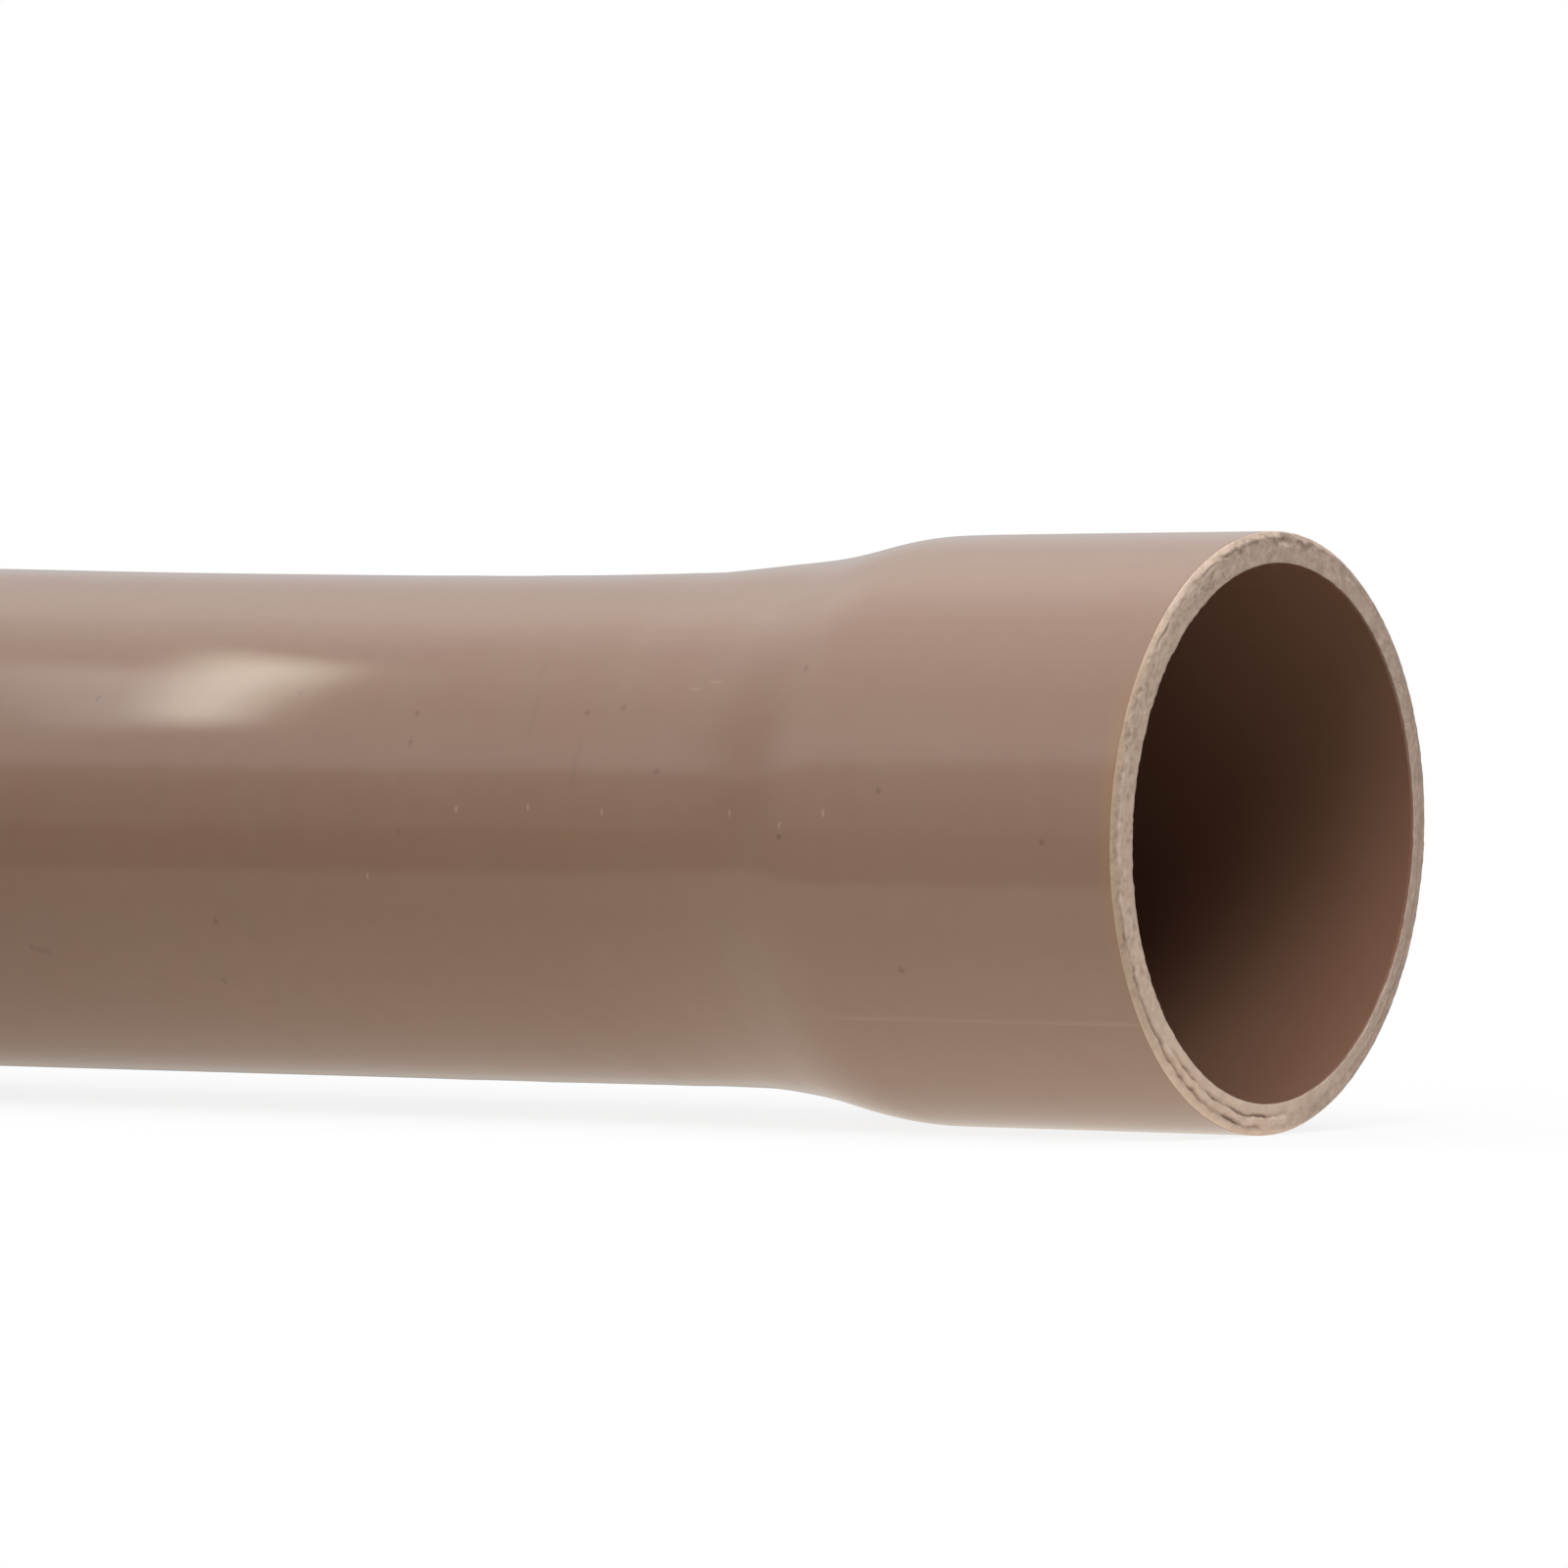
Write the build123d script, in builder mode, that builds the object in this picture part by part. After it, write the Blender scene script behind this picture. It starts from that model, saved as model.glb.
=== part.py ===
from build123d import *
import os

# A bar of rigid PVC water pressure pipe with a solvent-weld socket formed on one end.
# It is one extruded piece: the socket is the pipe's own wall, softened and pushed over a mandrel.
# Millimetres. The axis is X. The origin is in the middle of the socket's mouth, +X points out of
# the mouth, and the pipe runs along -X to its plain end. +Z is up as the bar lies on a floor.

# Barrel, as extruded
bar_length = 3000.0
barrel_radius = 25.0
barrel_wall = 3.0

# Where the extrusion die left its faint line along the bar, in degrees round the axis from the
# top, towards -Y
die_line_angle = 130.0

# Socket, which takes the plain end of the next bar
socket_clearance = 0.15
socket_wall = 2.95
socket_depth = 33.5

# Flare between the socket and the barrel: it leaves the socket in a short bend and runs out
# into the barrel in a long soft one. Each reach is the length of the curve's handle there.
flare_length = 32.0
flare_reach_at_socket = 9.5
flare_reach_at_barrel = 24.5

# Cut ends: the mouth has its outer edge broken, and the plain end both its edges
mouth_edge_break = 0.55
plain_end_edge_break = 0.5

# Sizes that follow from those above
bore_radius = barrel_radius - barrel_wall
socket_bore_radius = barrel_radius + socket_clearance
socket_radius = socket_bore_radius + socket_wall
flare_start = -socket_depth
flare_end = flare_start - flare_length
plain_end = -bar_length

os.makedirs("parts", exist_ok=True)

with BuildPart() as pipe:
    # Half of the lengthwise section, from the axis out through the die line
    with BuildSketch(Plane.XZ.rotated((die_line_angle, 0, 0))):
        with BuildLine():
            # Outside, from the mouth back to the plain end
            Line((0, socket_radius), (flare_start, socket_radius))
            Bezier(
                (flare_start, socket_radius),
                (flare_start - flare_reach_at_socket, socket_radius),
                (flare_end + flare_reach_at_barrel, barrel_radius),
                (flare_end, barrel_radius),
            )
            Line((flare_end, barrel_radius), (plain_end, barrel_radius))
            # The square cut at the plain end
            Line((plain_end, barrel_radius), (plain_end, bore_radius))
            # Inside, back along the bore to the socket
            Line((plain_end, bore_radius), (flare_end, bore_radius))
            Bezier(
                (flare_end, bore_radius),
                (flare_end + flare_reach_at_barrel, bore_radius),
                (flare_start - flare_reach_at_socket, socket_bore_radius),
                (flare_start, socket_bore_radius),
            )
            Line((flare_start, socket_bore_radius), (0, socket_bore_radius))
            # The cut at the mouth
            Line((0, socket_bore_radius), (0, socket_radius))
        make_face()
    revolve(axis=Axis.X)

    # Broken edges of the two cuts
    cut_edges = pipe.edges().filter_by(GeomType.CIRCLE).group_by(Axis.X)
    chamfer(cut_edges[-1].sort_by(SortBy.RADIUS)[-1], mouth_edge_break)
    plain_end_edges = pipe.edges().filter_by(GeomType.CIRCLE).group_by(Axis.X)[0]
    chamfer(plain_end_edges, plain_end_edge_break)

pipe.part.label = "pipe"
export_step(pipe.part, "parts/pipe.step")
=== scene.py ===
import bmesh
import bpy
import math
import numpy as np
from mathutils import Matrix, Vector, noise


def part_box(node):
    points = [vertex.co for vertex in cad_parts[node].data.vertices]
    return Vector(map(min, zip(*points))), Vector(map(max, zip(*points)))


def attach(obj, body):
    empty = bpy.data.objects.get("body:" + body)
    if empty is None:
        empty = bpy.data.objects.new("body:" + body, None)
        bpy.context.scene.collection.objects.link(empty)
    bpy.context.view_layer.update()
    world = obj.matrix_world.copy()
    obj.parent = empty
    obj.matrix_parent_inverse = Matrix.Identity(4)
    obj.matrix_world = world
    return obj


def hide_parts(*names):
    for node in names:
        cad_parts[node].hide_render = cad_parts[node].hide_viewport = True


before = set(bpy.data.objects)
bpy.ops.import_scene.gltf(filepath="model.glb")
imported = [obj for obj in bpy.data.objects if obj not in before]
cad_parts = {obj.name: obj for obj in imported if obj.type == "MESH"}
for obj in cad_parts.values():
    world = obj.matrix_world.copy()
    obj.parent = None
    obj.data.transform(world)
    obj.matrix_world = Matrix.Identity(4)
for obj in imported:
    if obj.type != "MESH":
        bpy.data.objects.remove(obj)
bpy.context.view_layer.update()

# The looks of a bar of brown rigid PVC water pipe with a socket formed on its end.
# Metres, in the frame of the CAD: the pipe's axis is X, the mouth of the socket is at the origin and
# faces +X, and the bar lies along -X. Angles round the pipe start at the top and go towards -Y,
# which is the side that the camera sees.

MM = 0.001

# Sizes of the pipe, as in its CAD source
BAR = 3000 * MM
BARREL_RADIUS = 25 * MM
BORE_RADIUS = 22 * MM
SOCKET_RADIUS = 28.1 * MM
SOCKET_BORE_RADIUS = 25.15 * MM
SOCKET_DEPTH = 33.5 * MM
FLARE_END = 65.5 * MM
FLARE_REACH_AT_SOCKET = 9.5 * MM
FLARE_REACH_AT_BARREL = 24.5 * MM
MOUTH_EDGE_BREAK = 0.55 * MM
PLAIN_END_EDGE_BREAK = 0.5 * MM

# The mesh: how many steps it has round the pipe, and how far behind the mouth its rings lie close
# together (at the torn rim, and over the stretch that the photo shows) before they thin out
STEPS_ROUND = 420
RIM = 2 * MM
SEEN = 170 * MM
THINNER_FROM = 400 * MM
THINNEST_FROM = 1000 * MM
PLAIN_RIM = 20 * MM

# The slight waves that the heating left, each as its height, how far behind the mouth it is and how
# far it reaches to both sides, in millimetres: along the top, along the bottom and all round
TOP_WAVES = ((-0.38, 82, 26), (1.15, 172, 38), (0.22, 53, 6), (-0.12, 39, 5))
BOTTOM_WAVES = ((0.17, 42.5, 3.5), (-0.2, 55, 5))
RINGS = ((0.035, 82, 2.2), (-0.03, 70, 2.5), (0.03, 93, 3), (-0.05, 62, 2.5))

# How the cut at the mouth leans out of square, along +X for each step up and each step to +Y, and
# how far behind the mouth the wall still follows it
CUT_LEAN_UP = 0.0229
CUT_LEAN_ACROSS = -0.011
CUT_FADE = 12 * MM

# Marks on the skin, each in millimetres behind the mouth and degrees round from the top
PALE_TICKS = (
    (31.8, 85.9), (36.8, 88.3), (43.4, 86.0), (59.3, 85.8), (68.0, 84.9), (76.5, 85.2), (87.4, 100.2),
)
PALE_SCRATCHES = ((50.7, 58.3), (48.4, 56.9))
DARK_SPECKS = (
    (7.6, 91.0), (25.8, 81.7), (25.0, 116.4), (36.8, 90.6), (37.0, 56.6), (58.8, 62.2), (62.9, 63.3),
    (83.0, 70.3), (83.1, 63.5), (107.0, 111.4), (108.6, 127.1), (123.1, 59.8),
)
DARK_SMUDGES = ((53.1, 77.0), (129.6, 119.8), (130.4, 119.4), (131.2, 119.0))
DARK_SMEARS = ((70.0, 53.0), (69.3, 60.0), (69.1, 65.0), (62.9, 71.5), (63.1, 76.5))

# The half sizes of those marks in millimetres, along the pipe, across it and upwards
TICK = (0.26, 1.2, 0.56)
SCRATCH = (1.2, 1.2, 0.22)
SPECK = (0.42, 1.2, 0.44)
SMUDGE = (0.65, 1.2, 0.50)
SMEAR = (0.55, 2.9, 2.9)

# The line that the die left, in degrees round from the top: where it ends in a sharp edge, and how
# wide its soft side and its sharp side are
DIE_LINE_ANGLE = 128
DIE_LINE_SOFT = 1.3
DIE_LINE_SHARP = 0.15

# The stretches of the skin, behind the mouth, over which the socket's paler tone (heated compound, with
# painted light) and the saw's yellowed edge fade out, and how far towards the camera the yellow begins
# and is full
HEATED_AND_LIT_FADE = (66 * MM, 36 * MM)
YELLOWED_FADE = (1.96 * MM, 0.56 * MM)
YELLOWED_SKIN = (-23 * MM, -27 * MM)
YELLOWED_CUT = (-17 * MM, -27 * MM)

# Colours
DARKER_BROWN = (0.242, 0.138, 0.092, 1)
PALER_BROWN = (0.274, 0.161, 0.110, 1)
OLIVE_BROWN = (0.250, 0.162, 0.104, 1)
# Paler socket colour: heated compound, with painted light near the mouth
HEATED_AND_LIT_BROWN = (0.33, 0.215, 0.162, 1)
# Painted shade: the bore's darker, redder colour
SHADED_BORE_BROWN = (0.243, 0.122, 0.079, 1)
RUBBED = (0.55, 0.42, 0.33, 1)
DIRT = (0.07, 0.04, 0.028, 1)
OCHRE = (0.32, 0.19, 0.095, 1)
OCHRE_CUT = (0.46, 0.33, 0.235, 1)
SAWN_SHADE = (0.54, 0.40, 0.31, 1)
SAWN_LIGHT = (0.76, 0.61, 0.50, 1)
SAWN_PINK = (0.72, 0.52, 0.43, 1)
SAWN_LIP = (0.68, 0.52, 0.41, 1)
# Painted shade and dirt in the sawn face's grooves and pits
GROOVE_DIRT_AND_SHADE = (0.17, 0.105, 0.075, 1)

# Where the barrel mirrors the glint cards, the direction that they are mirrored from, and how far
# off they stand, which is near enough for the flare to miss them
GLINT = (-0.10735, -0.02055, 0.01419)
GLINT_WAY = (-0.6129, -0.2763, 0.7403)
CARD_DISTANCE = 50 * MM
TAIL_DISTANCE = 58 * MM

# How bright the studio's walls are, from the level of the pipe on the camera's side (0 degrees) over
# the top (90) to the far side (180), and where they fade out along X, as a share of the direction:
# beyond the mouth and past the far end of the bar
STUDIO_ROUND = (
    (0, 0.42), (8, 0.44), (25.5, 0.64), (28, 1.28), (34, 1.34), (46, 1.18), (58, 1.10), (72, 1.29),
    (92, 1.36), (96, 1.52), (99, 1.46), (112, 1.6), (124, 1.27), (140, 0.9), (160, 0.75), (180, 0.5),
)
BRIGHTEST = 1.6
WALLS_FADE = (0.28, 0.1)
FAR_FADE = (-1.0, -0.7)

# The canopy of lights overhead, beyond the mouth, whose light falls on the face and into the bore:
# how bright it is along X, as a share of the direction, and round the pipe in degrees
CANOPY_ALONG = ((0.1, 0), (0.28, 0.86), (0.45, 3.5), (0.62, 3.45), (0.79, 0))
CANOPY_ROUND = ((58, 0), (72, 1), (102, 1), (110, 0))
CANOPY_LEVEL = 4.0

# The light table under the pipe: its colour across it, how bright it is at the mouth, how fast and
# how far it dims along the bar, and how it dims in front of the mouth
TABLE_ACROSS = (
    (-0.0925, (0, 0, 0)), (-0.0905, (0.52, 0.52, 0.46)), (-0.05, (0.60, 0.56, 0.50)),
    (-0.03, (0.84, 0.79, 0.70)), (0.004, (0.78, 0.74, 0.68)), (0.03, (0.15, 0.15, 0.15)),
    (0.08, (0.1, 0.1, 0.1)), (0.45, (0.1, 0.1, 0.1)), (0.5, (0, 0, 0)),
)
TABLE_WIDTH = 1.0
TABLE_AT_MOUTH = 1.1
TABLE_SLOPE = 2
TABLE_LEAST = 0.46
TABLE_FRONT = 0.12
TABLE_FRONT_LOSS = 0.6

# The floor: half its width, and how far beside and beyond the pipe its shadow starts and ends to fade
FLOOR_REACH = 12
SHADOW_BESIDE = (0.04, 0.14)
SHADOW_BEYOND = (BAR / 2 + 0.05, BAR / 2 + 0.15)
SHADOW_SHARE = 0.14

# The lamp that lights the face
KEY_PLACE = (0.12, -0.25, 0.35)
KEY_AIM = (-0.02, 0, 0)
KEY_SIDE = 0.25
KEY_RADIANCE = 5.6

# The camera, fitted to the photo, with its focal length in the photo's pixels
PHOTO_PIXELS = 1600
FOCAL_PIXELS = 9357.3
SENSOR_WIDTH = 36
CAMERA_PLACE = (449.32 * MM, -725.28 * MM, 11.94 * MM)
CAMERA_WAY = (-0.5714, 0.8206, -0.0086)


# Modelling

def divided_run(bm, start, end, cuts):
    """A straight run of the section from vertex start to the point end, cut into equal lengths."""
    last = bm.verts.new(end)
    split_run(bm, start, last, cuts)
    return last


def split_run(bm, start, last, cuts):
    """An edge between two vertices, cut into equal lengths."""
    edge = bm.edges.new((start, last))
    for left in range(cuts, 0, -1):
        start = bmesh.utils.edge_split(edge, start, 1 / (left + 1))[1]


def pipe_section(bm):
    """Half of the lengthwise section of the straight bar, before its socket is formed: each run's
    end behind the mouth, its radius, and the cuts in it."""
    outside = BARREL_RADIUS
    inside = BORE_RADIUS
    face_edge = outside - MOUTH_EDGE_BREAK
    plain_break = PLAIN_END_EDGE_BREAK
    first = bm.verts.new((0, 0, inside))
    corner = divided_run(bm, first, (0, 0, face_edge), 17)
    for x, radius, cuts in (
        (MOUTH_EDGE_BREAK, outside, 3),
        (RIM, outside, 5),
        (SOCKET_DEPTH, outside, 15),
        (FLARE_END, outside, 31),
        (SEEN, outside, 30),
        (THINNER_FROM, outside, 9),
        (THINNEST_FROM, outside, 5),
        (BAR - PLAIN_RIM, outside, 7),
        (BAR - plain_break, outside, 4),
        (BAR, outside - plain_break, 1),
        (BAR, inside + plain_break, 7),
        (BAR - plain_break, inside, 1),
        (BAR - PLAIN_RIM, inside, 3),
        (THINNEST_FROM, inside, 7),
        (THINNER_FROM, inside, 4),
        (SEEN, inside, 5),
        (FLARE_END, inside, 13),
        (SOCKET_DEPTH, inside, 15),
        (RIM, inside, 11),
    ):
        corner = divided_run(bm, corner, (-x, 0, radius), cuts)
    split_run(bm, corner, first, 4)


def flare_share(back):
    """How far the flare has come down from the socket (0) to the barrel (1), at distances behind
    the mouth. It is the curve of the CAD source, with one handle at each end."""
    u = np.linspace(0, 1, 400)
    length = FLARE_END - SOCKET_DEPTH
    along = (
        3 * (1 - u) ** 2 * u * FLARE_REACH_AT_SOCKET
        + 3 * (1 - u) * u**2 * (length - FLARE_REACH_AT_BARREL)
        + u**3 * length
    )
    down = 3 * (1 - u) * u**2 + u**3
    return np.interp(back - SOCKET_DEPTH, along, down)


def bump(value, centre, reach):
    """A smooth hump of height 1 at the centre, which falls away over about the reach on both sides."""
    return np.exp(-(((value - centre) / reach) ** 2))


def ramp(value, start, end):
    """0 at the start and 1 at the end, with soft shoulders."""
    share = np.clip((value - start) / (end - start), 0, 1)
    return share * share * (3 - 2 * share)


def stretch(angle, start, end, soft=4):
    """1 between two angles in degrees, fading over soft degrees at each end."""
    turned = (angle - start) % 360
    span = (end - start) % 360
    return ramp(turned, 0, soft) * (1 - ramp(turned, span - soft, span))


def grain(points, size, seed):
    """Even noise from -1 to 1 at each point, with lumps of about the given size."""
    shift = Vector((seed * 7.3, seed * 3.1, seed * 5.7))
    return np.array([noise.noise(Vector(p) / size + shift) for p in points])


def waves(back, heights):
    """The sum of the given waves, at distances behind the mouth."""
    return sum(height * MM * bump(back, centre * MM, reach * MM) for height, centre, reach in heights)


def formed_socket(places):
    """Radial shaping: the socket pushed out over its mandrel, the slight waves that the heating left,
    and the barrel a little out of round behind it."""
    x, y, z = places.T
    radius = np.hypot(y, z)
    angle = np.arctan2(-y, z)
    back = -x
    wall = (radius - BORE_RADIUS) / (BARREL_RADIUS - BORE_RADIUS)
    share = flare_share(back)
    outer = SOCKET_RADIUS + (BARREL_RADIUS - SOCKET_RADIUS) * share
    inner = SOCKET_BORE_RADIUS + (BORE_RADIUS - SOCKET_BORE_RADIUS) * share
    radius = inner + (outer - inner) * wall

    top = np.clip(np.cos(angle), 0, 1) ** 2
    bottom = np.clip(-np.cos(angle), 0, 1) ** 2
    radius += top * waves(back, TOP_WAVES) + bottom * waves(back, BOTTOM_WAVES) + waves(back, RINGS)
    return np.stack([x, -np.sin(angle) * radius, np.cos(angle) * radius], axis=1)


def mouth_relief(angle, wall, points):
    """The torn and sawn face at the mouth: heights in millimetres, and how much darker each place is
    painted, for dirt and for painted shade in grooves, steps and pits. angle is in degrees and wall goes
    from the bore (0) to the skin (1)."""
    coarse = grain(points, 1.1 * MM, 1)
    fine = grain(points, 0.45 * MM, 2)
    patchy = ramp(grain(points, 2.4 * MM, 3), -0.25, 0.2)
    turn = np.radians(angle)
    rim = np.stack([np.cos(turn), np.sin(turn), 0 * turn], axis=1) * SOCKET_RADIUS
    depth = wall + 0.08 * grain(rim, 4.5 * MM, 4) + 0.08 * grain(rim, 1.3 * MM, 5)

    upper_groove = stretch(angle, 12, 118, 8) * bump(depth, 0.80, 0.06) * (0.35 + 0.65 * patchy)
    outer_groove = stretch(angle, 112, 178, 6) * bump(depth, 0.71, 0.06) * (0.35 + 0.65 * patchy)
    inner_groove = stretch(angle, 136, 187, 8) * bump(depth, 0.36, 0.06) * (0.4 + 0.6 * patchy)
    ridge = stretch(angle, 134, 186, 3) * bump(depth, 0.52, 0.07)
    ledge_end = bump(angle, 184.5, 1.6) * bump(wall, 0.53, 0.11)
    smeared_lip = stretch(angle, 96, 182, 12) * ramp(wall, 0.78, 0.86)
    far_step = stretch(angle, 190, 338, 8) * ramp(depth, 0.42, 0.56)
    bore_lip = stretch(angle, 130, 345, 10) * bump(wall, 0.10, 0.20)
    torn_top = stretch(angle, 338, 22, 8) * ramp(depth, 0.5, 0.7)
    chip = bump((angle + 180) % 360 - 180, -2.5, 2.2) * bump(wall, 0.74, 0.13)
    pits = stretch(angle, 10, 128, 10) * ramp(fine, 0.18, 0.42) * ramp(wall, 0.0, 0.15)
    # The face is darker towards its bottom
    bottom_darkening = stretch(angle, 176, 208, 14)

    height = 0
    dirt_and_shade = 0
    # Grooves, steps and pits are painted darker, both as dirt and as painted shade in them; ridges and
    # lips lighter
    for form, rises, darkens in (
        (coarse, 0.05, 0.16),
        (fine, 0.06, 0.24),
        (upper_groove, -0.16, 0.42),
        (outer_groove, -0.48, 0.75),
        (inner_groove, -0.36, 0.65),
        (ridge, 0.20, -0.35),
        (ledge_end, 0.24, -0.40),
        (smeared_lip, 0.10, 0.20),
        (far_step, -0.16, 0.08),
        (bore_lip, 0.07, -0.45),
        (torn_top, -0.06, 0.28),
        (torn_top * fine, 0.10, 0.40),
        (chip, -0.35, 0.30),
        (pits, -0.06, 0.22),
        (bottom_darkening, 0, 0.22),
    ):
        height = height + rises * form
        dirt_and_shade = dirt_and_shade + darkens * form
    return height, dirt_and_shade


def torn_edge(angle, wall, points):
    """How far the small teeth of the torn upper edge stand into the bore, in millimetres."""
    teeth = ramp(grain(points, 0.7 * MM, 6), -0.1, 0.5)
    return 0.13 * teeth * stretch(angle, 18, 112, 12) * (1 - ramp(wall, 0, 0.12))


def bake_map(mesh, back, wall, angle):
    """The pipe's own UV map, a band for each stretch of its surface with the seen ones large, and
    its material slots: 0 is the skin and 1 is a cut."""
    corners = np.empty(len(mesh.loops), dtype=np.int32)
    mesh.loops.foreach_get("vertex_index", corners)
    corners = corners.reshape(-1, 4)
    back, wall, turn = back[corners], wall[corners], angle[corners]
    over_the_top = (np.ptp(turn, axis=1) > 180)[:, None] & (turn < 180)
    turn = np.where(over_the_top, turn + 360, turn)
    outside = wall.min(axis=1) > 0.999
    inside = wall.max(axis=1) < 0.001
    cut = ~outside & ~inside
    near = back.max(axis=1) < SEEN + 0.1 * MM
    up = np.zeros(corners.shape)
    for chosen, along, start, end, low, high in (
        (outside & near, back, 0, SEEN, 0.005, 0.42),
        (cut & near, wall, 0, 1, 0.43, 0.53),
        (inside & near, back, 0, SEEN, 0.54, 0.66),
        (outside & ~near, back, SEEN, BAR, 0.67, 0.85),
        (cut & ~near, wall, 0, 1, 0.86, 0.90),
        (inside & ~near, back, SEEN, BAR, 0.91, 0.995),
    ):
        up[chosen] = low + (high - low) * (along[chosen] - start) / (end - start)
    layer = mesh.uv_layers.new(name="OFBake")
    layer.data.foreach_set("uv", np.stack([0.003 + 0.994 * turn / 360, up], axis=2).ravel())
    mesh.polygons.foreach_set("material_index", cut.astype(np.int32))


def build_pipe():
    bm = bmesh.new()
    pipe_section(bm)
    bmesh.ops.spin(
        bm, geom=bm.verts[:] + bm.edges[:], cent=(0, 0, 0), axis=(1, 0, 0),
        angle=2 * math.pi, steps=STEPS_ROUND, use_merge=True,
    )
    bmesh.ops.recalc_face_normals(bm, faces=bm.faces[:])
    mesh = bpy.data.meshes.new("pipe_wall")
    bm.to_mesh(mesh)
    bm.free()

    places = np.empty(len(mesh.vertices) * 3)
    mesh.vertices.foreach_get("co", places)
    places = places.reshape(-1, 3)
    straight = places.copy()
    radius = np.hypot(straight[:, 1], straight[:, 2])
    wall = (radius - BORE_RADIUS) / (BARREL_RADIUS - BORE_RADIUS)
    angle = np.degrees(np.arctan2(-straight[:, 1], straight[:, 2])) % 360
    places = formed_socket(straight)

    back = -straight[:, 0]
    near = np.nonzero(back < 1.25 * RIM)[0]
    height, dirt_and_shade = mouth_relief(angle[near], wall[near], places[near])
    on_face = 1 - ramp(back[near], 0.05 * MM, 0.9 * MM)
    teeth = torn_edge(angle[near], wall[near], places[near]) * (1 - ramp(back[near], 0, 0.5 * MM))
    inwards = 1 - MM * teeth / SOCKET_BORE_RADIUS
    places[near, 1] *= inwards
    places[near, 2] *= inwards
    places[near, 0] += MM * height * on_face
    # The cut is not quite square to the axis
    fade = 1 - ramp(back, 0, CUT_FADE)
    places[:, 0] += fade * (CUT_LEAN_UP * places[:, 2] + CUT_LEAN_ACROSS * places[:, 1])
    mesh.vertices.foreach_set("co", places.ravel())

    darkness = np.zeros(len(places))
    darkness[near] = dirt_and_shade * on_face
    for name, values in (("sawn_dark", darkness), ("wall", wall)):
        layer = mesh.attributes.new(name, "FLOAT", "POINT")
        layer.data.foreach_set("value", values)
    bake_map(mesh, back, wall, angle)
    mesh.update()
    mesh.shade_smooth()
    pipe = bpy.data.objects.new("belled_pipe", mesh)
    bpy.context.collection.objects.link(pipe)
    return pipe


# Materials

class Tone:
    """A value in a node tree, such as a shade or a share. Arithmetic on it adds Math nodes."""

    def __init__(self, tree, socket=None):
        self.tree = tree
        self.socket = socket

    def node(self, kind, settings=None, inputs=None, out=0):
        made = self.tree.nodes.new(kind)
        for name, value in (settings or {}).items():
            if name == "stops":
                elements = made.color_ramp.elements
                while len(elements) < len(value):
                    elements.new(0.5)
                for element, (position, shade) in zip(elements, value):
                    element.position = position
                    element.color = (*shade, 1) if isinstance(shade, tuple) else (shade, shade, shade, 1)
            elif name == "interpolation" and kind == "ShaderNodeValToRGB":
                made.color_ramp.interpolation = value
            else:
                setattr(made, name, value)
        for name, value in (inputs or {}).items():
            if isinstance(value, Tone):
                self.tree.links.new(value.socket, made.inputs[name])
            else:
                made.inputs[name].default_value = value
        return Tone(self.tree, made.outputs[out])

    def stops(self, value, steps):
        """A piecewise linear curve of grey through the given steps."""
        return self.node("ShaderNodeValToRGB", {"interpolation": "LINEAR", "stops": steps}, {0: value})

    def math(self, operation, *operands, clamp=False):
        return self.node(
            "ShaderNodeMath", {"operation": operation, "use_clamp": clamp},
            dict(enumerate(operands)),
        )

    def vector(self, operation, *operands, out=0):
        return self.node(
            "ShaderNodeVectorMath", {"operation": operation}, dict(enumerate(operands)), out=out
        )

    def noise(self, place, scale, detail):
        return self.node(
            "ShaderNodeTexNoise", None, {"Vector": place, "Scale": scale, "Detail": detail}, out="Fac"
        )

    def __add__(self, other):
        return self.math("ADD", self, other)

    __radd__ = __add__

    def __sub__(self, other):
        return self.math("SUBTRACT", self, other)

    def __rsub__(self, other):
        return self.math("SUBTRACT", other, self)

    def __mul__(self, other):
        return self.math("MULTIPLY", self, other)

    __rmul__ = __mul__

    def __truediv__(self, other):
        return self.math("DIVIDE", self, other)

    def __neg__(self):
        return self.math("MULTIPLY", self, -1.0)

    def clipped(self):
        return self.math("ADD", self, 0.0, clamp=True)

    def rise(self, start, end):
        """0 at the start and 1 at the end, and no less or more beyond them."""
        return self.math("DIVIDE", self - start, end - start, clamp=True)

    def mixed(self, other_colour, colour):
        """The two colours mixed by this share: 0 gives the first."""
        return self.node(
            "ShaderNodeMix", {"data_type": "RGBA"},
            {0: self, 6: other_colour, 7: colour}, out=2,
        )


def new_material(name):
    material = bpy.data.materials.new(name)
    material.use_nodes = True
    material.node_tree.nodes.clear()
    return material, Tone(material.node_tree)


def output(tree, shader, kind="ShaderNodeOutputMaterial"):
    end = tree.tree.nodes.new(kind)
    tree.tree.links.new(shader.socket, end.inputs["Surface"])


def on_skin(back, angle):
    """The point of the outer skin so many millimetres behind the mouth and degrees round."""
    radius = SOCKET_RADIUS + (BARREL_RADIUS - SOCKET_RADIUS) * float(flare_share(back * MM))
    turn = math.radians(angle)
    return (-back * MM, -math.sin(turn) * radius, math.cos(turn) * radius)


def spots(tree, place, marks, size, soft=0.9):
    """1 inside small spots at the given marks, each an ellipsoid of the given half sizes in
    millimetres, which fades over the soft share of them."""
    found = None
    for mark in marks:
        from_spot = tree.vector("SUBTRACT", place, on_skin(*mark))
        scaled = tree.vector("DIVIDE", from_spot, tuple(side * MM for side in size))
        spot = tree.vector("LENGTH", scaled, out="Value").rise(1, 1 - soft)
        found = spot if found is None else tree.math("MAXIMUM", found, spot)
    return found


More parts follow.
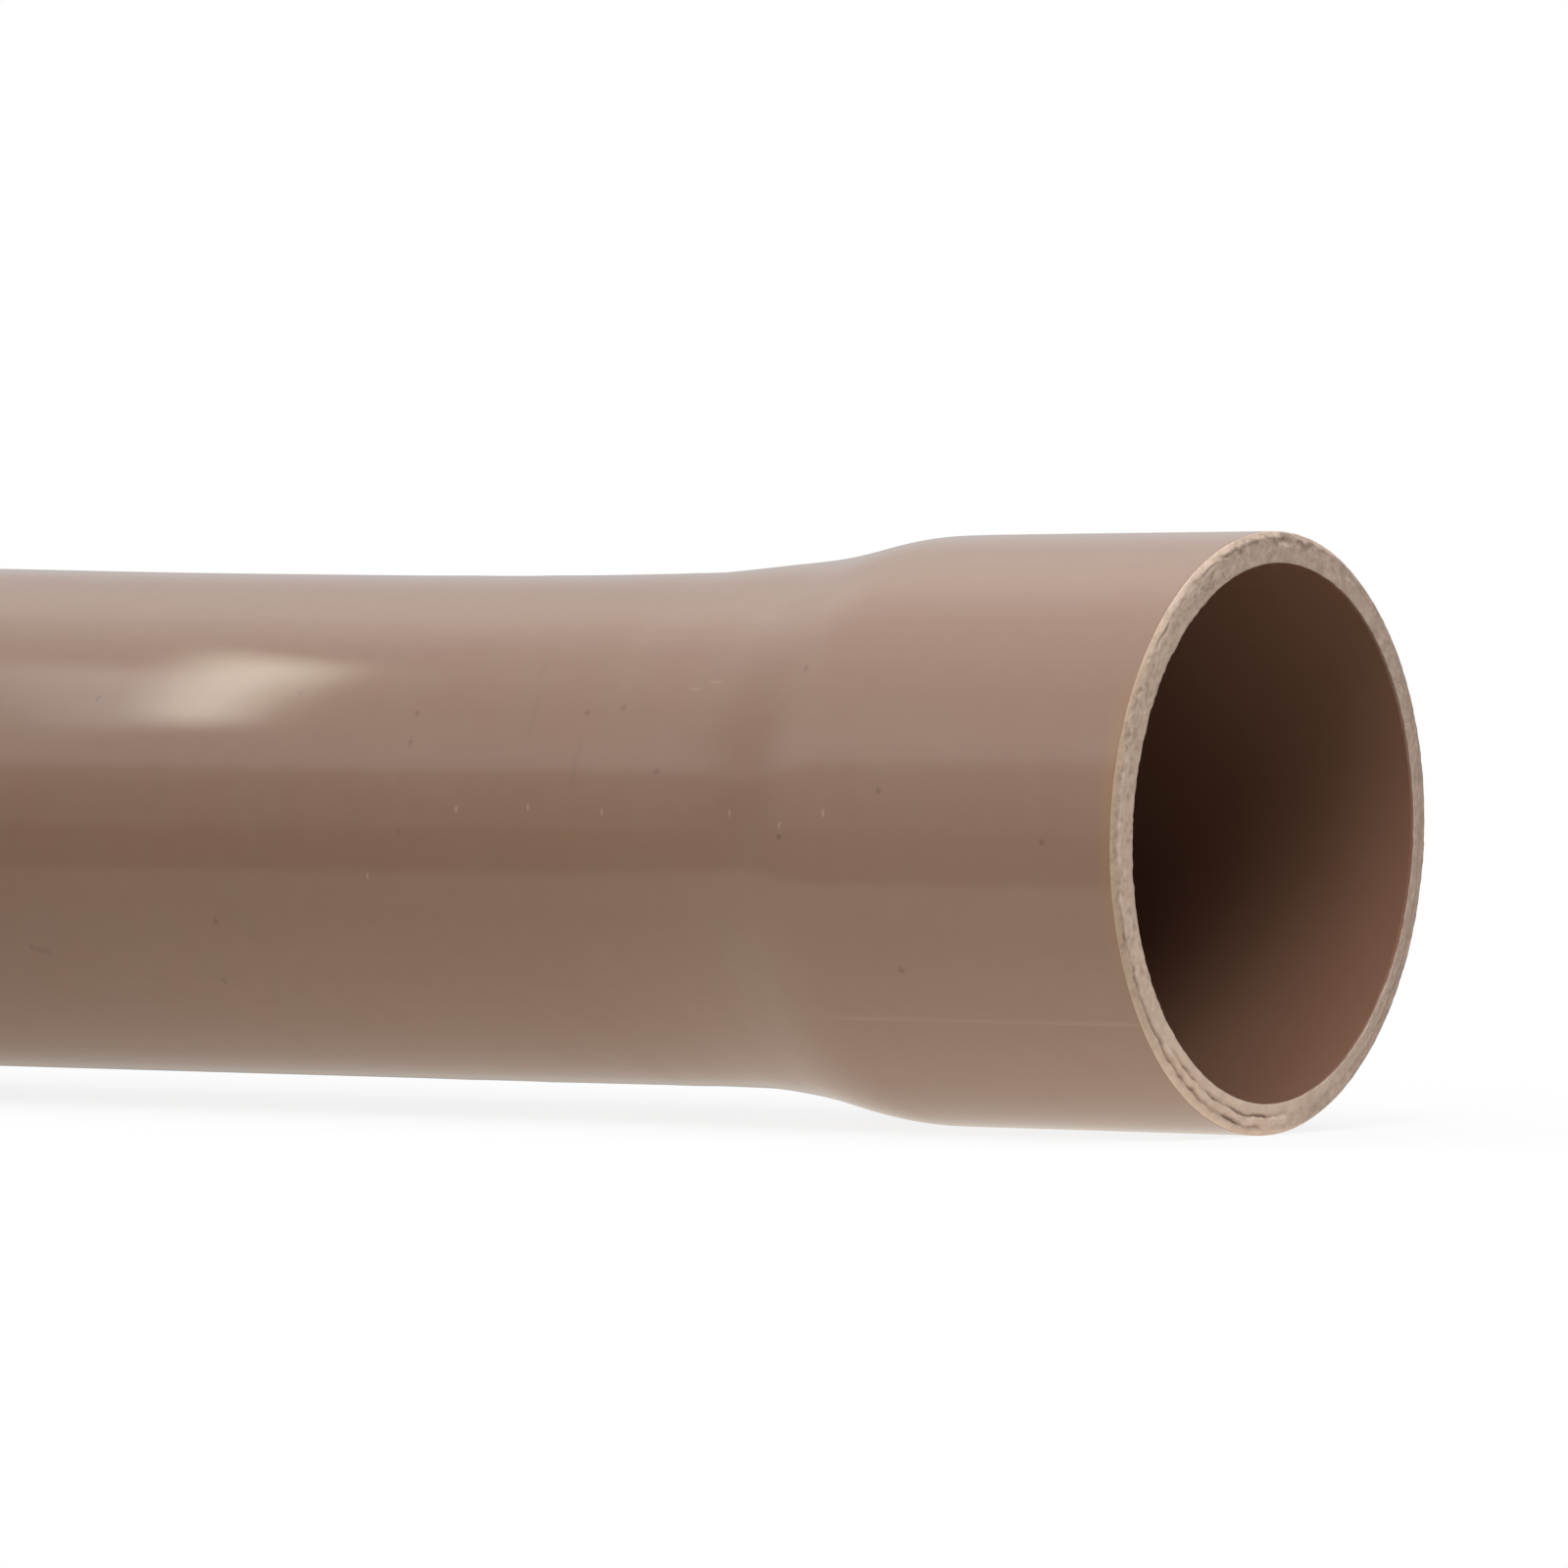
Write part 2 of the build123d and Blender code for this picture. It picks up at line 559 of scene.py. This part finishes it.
def brown_skin():
    material, tree = new_material("brown_pvc_skin")
    place = tree.node("ShaderNodeTexCoord", out="Object")
    x, y, z = (tree.node("ShaderNodeSeparateXYZ", None, {0: place}, out=i) for i in range(3))
    back = -x
    turn = tree.math("ARCTAN2", -y, z) * (180 / math.pi)

    # The colour of the compound: cloudy, and drawn out along the bar by the die
    cloud = tree.noise(place, 60, 3)
    tint = tree.noise(place, 130, 2)
    drawn = tree.node("ShaderNodeMapping", None, {"Vector": place, "Scale": (6.0, 420.0, 420.0)})
    streaks = tree.noise(drawn, 1, 4)
    mottle = tree.noise(place, 420, 3)
    shade = (cloud * 0.5 + streaks * 0.35 + (mottle - 0.5) * 0.7 + 0.08).clipped()
    colour = shade.mixed(DARKER_BROWN, PALER_BROWN)
    colour = ((tint - 0.35) * 0.9).clipped().mixed(colour, OLIVE_BROWN)

    # The socket is paler towards the mouth, partly from the heated compound and partly as painted light
    # for the stronger light near the mouth
    colour = (back.rise(*HEATED_AND_LIT_FADE) * 0.24).mixed(colour, HEATED_AND_LIT_BROWN)
    wall = tree.node("ShaderNodeAttribute", {"attribute_name": "wall"}, out="Fac")
    # The bore is painted darker and redder, as the shade inside it
    painted_bore_shade = wall.rise(0.1, 0)
    colour = painted_bore_shade.mixed(colour, (0.5 * cloud).mixed(SHADED_BORE_BROWN, colour))

    # The line that the die left along the bar, clearest where the socket stretched it
    on_socket = back.rise(SOCKET_DEPTH + 3 * MM, SOCKET_DEPTH - 1 * MM)
    soft_side = turn.rise(DIE_LINE_ANGLE - DIE_LINE_SOFT, DIE_LINE_ANGLE)
    sharp_side = turn.rise(DIE_LINE_ANGLE + DIE_LINE_SHARP, DIE_LINE_ANGLE)
    die_line = soft_side * sharp_side * (on_socket * 0.7 + 0.08)
    colour = (die_line * 0.13).mixed(colour, RUBBED)

    # Knocks and dirt: the marks on the near side, and sparse specks all over
    jitter = tree.node(
        "ShaderNodeTexNoise", None, {"Vector": place, "Scale": 2600.0, "Detail": 1.0}, out="Color"
    )
    ragged = tree.vector("ADD", place, tree.vector("MULTIPLY", jitter, (0.3 * MM,) * 3))
    ragged = tree.vector("SUBTRACT", ragged, (0.15 * MM,) * 3)
    ticks = spots(tree, ragged, PALE_TICKS, TICK)
    scratches = spots(tree, ragged, PALE_SCRATCHES, SCRATCH)
    rubbed = tree.math("MAXIMUM", ticks, scratches * 0.45)
    colour = (rubbed * 0.28).mixed(colour, RUBBED)
    specks = tree.math(
        "MAXIMUM", spots(tree, ragged, DARK_SPECKS, SPECK),
        spots(tree, ragged, DARK_SMUDGES, SMUDGE) * 0.8,
    )
    grains = tree.node(
        "ShaderNodeTexVoronoi", {"feature": "F1"}, {"Vector": place, "Scale": 150.0}, out="Distance"
    )
    rare = tree.noise(place, 90, 0).rise(0.56, 0.61)
    smears = spots(tree, place, DARK_SMEARS, SMEAR, soft=1.0)
    dirt = tree.math("MAXIMUM", grains.rise(0.055, 0.025) * rare * 0.6, specks)
    dirt = tree.math("MAXIMUM", dirt, smears * 0.2)
    colour = (dirt * 0.36).mixed(colour, DIRT)

    # The saw warmed the mouth's edge, which has yellowed on the near side
    yellowed = back.rise(*YELLOWED_FADE) * y.rise(*YELLOWED_SKIN)
    colour = (yellowed * 0.5).mixed(colour, OCHRE)

    grit = tree.noise(place, 1500, 2)
    relief = tree.node("ShaderNodeBump", None, {
        "Strength": 0.2, "Distance": 0.05 * MM,
        "Height": streaks * 0.5 + grit * 0.2 + die_line * 0.4 + rubbed * 0.5 - dirt * 0.3,
    })
    skin = tree.node("ShaderNodeBsdfPrincipled", None, {
        "Base Color": colour, "Roughness": 0.11 + cloud * 0.05 + rubbed * 0.2 + dirt * 0.08,
        "IOR": 1.5, "Normal": relief,
    })
    output(tree, skin)
    return material


def sawn_face():
    material, tree = new_material("sawn_pvc")
    place = tree.node("ShaderNodeTexCoord", out="Object")
    y = tree.node("ShaderNodeSeparateXYZ", None, {0: place}, out=1)
    dirt_and_shade = tree.node("ShaderNodeAttribute", {"attribute_name": "sawn_dark"}, out="Fac")
    wall = tree.node("ShaderNodeAttribute", {"attribute_name": "wall"}, out="Fac")
    cloud = tree.noise(place, 900, 4)
    crumbs = tree.noise(place, 2600, 2)
    patch = tree.noise(place, 160, 2)
    shade = ((cloud - 0.5) * 1.8 + 0.5).clipped()
    colour = shade.mixed(SAWN_SHADE, SAWN_LIGHT)
    colour = (patch * 0.5).mixed(colour, SAWN_PINK)
    colour = (wall.rise(0.84, 0.90) * 0.6).mixed(colour, SAWN_LIP)
    yellowed = wall.rise(0.76, 0.88) * y.rise(*YELLOWED_CUT)
    colour = (yellowed * 0.9).mixed(colour, OCHRE_CUT)
    pitted = crumbs.rise(0.60, 0.68)
    # Grooves and pits painted darker, as dirt and as painted shade
    colour = (dirt_and_shade * 0.9 + pitted * 0.10).clipped().mixed(colour, GROOVE_DIRT_AND_SHADE)
    relief = tree.node("ShaderNodeBump", None, {
        "Strength": 0.8, "Distance": 0.25 * MM, "Height": cloud + crumbs * 0.35 - pitted * 0.15,
    })
    face = tree.node("ShaderNodeBsdfPrincipled", None, {
        "Base Color": colour, "Roughness": 0.62, "IOR": 1.5, "Normal": relief,
    })
    output(tree, face)
    return material


# Studio

def studio_floor(level):
    bm = bmesh.new()
    bmesh.ops.create_grid(bm, x_segments=8, y_segments=8, size=FLOOR_REACH)
    bmesh.ops.translate(bm, verts=bm.verts[:], vec=(-BAR / 2, 0, level))
    mesh = bpy.data.meshes.new("studio_floor")
    bm.to_mesh(mesh)
    bm.free()
    floor = bpy.data.objects.new("studio_floor", mesh)
    bpy.context.collection.objects.link(floor)
    material, tree = new_material("pale_floor")
    place = tree.node("ShaderNodeTexCoord", out="Object")
    x, y = (tree.node("ShaderNodeSeparateXYZ", None, {0: place}, out=i) for i in range(2))
    seen = tree.node("ShaderNodeLightPath", out="Is Camera Ray")
    # What the camera sees: white, with the pipe's soft shadow close to it
    pale = tree.node("ShaderNodeBsdfDiffuse", None, {"Color": (0.8, 0.8, 0.8, 1)})
    white = tree.node("ShaderNodeEmission", None, {"Color": (1, 1, 1, 1), "Strength": 1.0})
    beside = tree.math("ABSOLUTE", y).rise(*SHADOW_BESIDE)
    beyond = tree.math("ABSOLUTE", x + BAR / 2).rise(*SHADOW_BEYOND)
    away = tree.math("MAXIMUM", beside, beyond)
    shown = tree.node("ShaderNodeMixShader", None, {
        0: 1 - SHADOW_SHARE + away * SHADOW_SHARE, 1: pale, 2: white,
    })
    # What lights the pipe from below: a light table under it, brighter towards the mouth
    dim = tree.node("ShaderNodeBsdfDiffuse", None, {"Color": (0.19, 0.19, 0.19, 1)})
    steps = [(side / TABLE_WIDTH + 0.5, lit) for side, lit in TABLE_ACROSS]
    across = tree.stops(y / TABLE_WIDTH + 0.5, steps)
    along = tree.math("MAXIMUM", 1 + x * TABLE_SLOPE, TABLE_LEAST).clipped()
    along = along * (1 - x.rise(0, TABLE_FRONT) * TABLE_FRONT_LOSS)
    table = tree.node("ShaderNodeEmission", None, {
        "Color": along.mixed((0, 0, 0, 1), across), "Strength": TABLE_AT_MOUTH,
    })
    under = tree.node("ShaderNodeAddShader", None, {0: dim, 1: table})
    shader = tree.node("ShaderNodeMixShader", None, {0: seen, 1: under, 2: shown})
    output(tree, shader)
    mesh.materials.append(material)
    return floor


def studio_world():
    world = bpy.data.worlds.new("studio")
    bpy.context.scene.world = world
    world.use_nodes = True
    world.node_tree.nodes.clear()
    tree = Tone(world.node_tree)
    way = tree.node("ShaderNodeTexCoord", out="Generated")
    x, y, z = (tree.node("ShaderNodeSeparateXYZ", None, {0: way}, out=i) for i in range(3))
    round_pipe = tree.math("ARCTAN2", z, -y) / math.pi
    walls = tree.stops(round_pipe, [(turn / 180, lit / BRIGHTEST) for turn, lit in STUDIO_ROUND])
    walls = walls * BRIGHTEST * x.rise(*WALLS_FADE) * x.rise(*FAR_FADE)
    along = tree.stops((x + 1) / 2, [((far + 1) / 2, lit / CANOPY_LEVEL) for far, lit in CANOPY_ALONG])
    over = tree.stops(round_pipe, [(turn / 180, lit) for turn, lit in CANOPY_ROUND])
    canopy = along * CANOPY_LEVEL * over
    # The camera sees white behind the pipe
    seen = tree.node("ShaderNodeLightPath", out="Is Camera Ray")
    light = seen.mixed(walls + canopy, (1, 1, 1, 1))
    sky = tree.node("ShaderNodeBackground", None, {"Color": light, "Strength": 1.0})
    output(tree, sky, "ShaderNodeOutputWorld")


def glint_card(name, distance, size, radiance, shade, shift, lean=0.0):
    """A small glowing card that only the pipe's gloss shows, brightest along its middle. It stands
    where the barrel mirrors it at GLINT, its short side along the pipe as far as it can be. The
    shift moves it along its two sides, and the lean turns it, in degrees."""
    data = bpy.data.lights.new(name, "AREA")
    data.shape = "RECTANGLE"
    data.size, data.size_y = size
    data.energy = radiance * math.pi * size[0] * size[1]
    data.color = shade
    data.use_nodes = True
    data.node_tree.nodes.clear()
    tree = Tone(data.node_tree)
    spot = tree.node("ShaderNodeNewGeometry", out="Parametric")
    u, v = (tree.node("ShaderNodeSeparateXYZ", None, {0: spot}, out=i) * 2 - 1 for i in range(2))
    inwards = (1 - tree.math("ABSOLUTE", u) * (1.3 - v * 0.35)).clipped()
    soft_ends = tree.math("ABSOLUTE", v).rise(1, 0.55)
    glow = inwards * inwards * (3 - 2 * inwards) * soft_ends
    light = tree.node("ShaderNodeEmission", None, {
        "Color": glow.mixed((0, 0, 0, 1), (1, 1, 1, 1)), "Strength": 1.0,
    })
    output(tree, light, "ShaderNodeOutputLight")
    card = bpy.data.objects.new(name, data)
    bpy.context.collection.objects.link(card)
    way = Vector(GLINT_WAY).normalized()
    short = (Vector((1, 0, 0)) - way * way.x).normalized()
    tall = way.cross(short)
    card.location = Vector(GLINT) + way * distance + short * shift[0] + tall * shift[1]
    turn = math.radians(lean)
    across = short * math.cos(turn) - tall * math.sin(turn)
    up = tall * math.cos(turn) + short * math.sin(turn)
    card.rotation_euler = Matrix((across, up, way)).transposed().to_euler()
    card.visible_camera = False
    card.visible_diffuse = False


def key_lamp():
    """A square soft lamp near the mouth that adds no gloss."""
    data = bpy.data.lights.new("key", "AREA")
    data.shape = "SQUARE"
    data.size = KEY_SIDE
    data.energy = KEY_RADIANCE * math.pi * KEY_SIDE * KEY_SIDE
    lamp = bpy.data.objects.new("key", data)
    bpy.context.collection.objects.link(lamp)
    lamp.location = KEY_PLACE
    lamp.rotation_euler = (Vector(KEY_PLACE) - Vector(KEY_AIM)).to_track_quat("Z", "Y").to_euler()
    lamp.visible_camera = False
    lamp.visible_glossy = False


def camera():
    data = bpy.data.cameras.new("camera")
    data.sensor_width = SENSOR_WIDTH
    data.lens = FOCAL_PIXELS / PHOTO_PIXELS * SENSOR_WIDTH
    data.clip_start = 0.01
    data.clip_end = 50
    view = bpy.data.objects.new("camera", data)
    bpy.context.collection.objects.link(view)
    view.location = CAMERA_PLACE
    view.rotation_euler = Vector(CAMERA_WAY).to_track_quat("-Z", "Y").to_euler()
    bpy.context.scene.camera = view


# The scene

pipe = build_pipe()
pipe.data.materials.append(brown_skin())
pipe.data.materials.append(sawn_face())
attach(pipe, "root")
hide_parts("pipe")

floor = studio_floor(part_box("pipe")[0][2])
studio_world()
glint_card(
    "glint", CARD_DISTANCE, size=(30 * MM, 41 * MM), radiance=4.8, shade=(1.0, 0.97, 0.80),
    shift=(-0.4 * MM, -3.6 * MM), lean=20,
)
glint_card(
    "glint_tail", TAIL_DISTANCE, size=(56 * MM, 36 * MM), radiance=1.5, shade=(0.92, 0.96, 1.04),
    shift=(-12.5 * MM, -8.5 * MM),
)
key_lamp()
camera()
bpy.context.scene.view_settings.view_transform = "Standard"
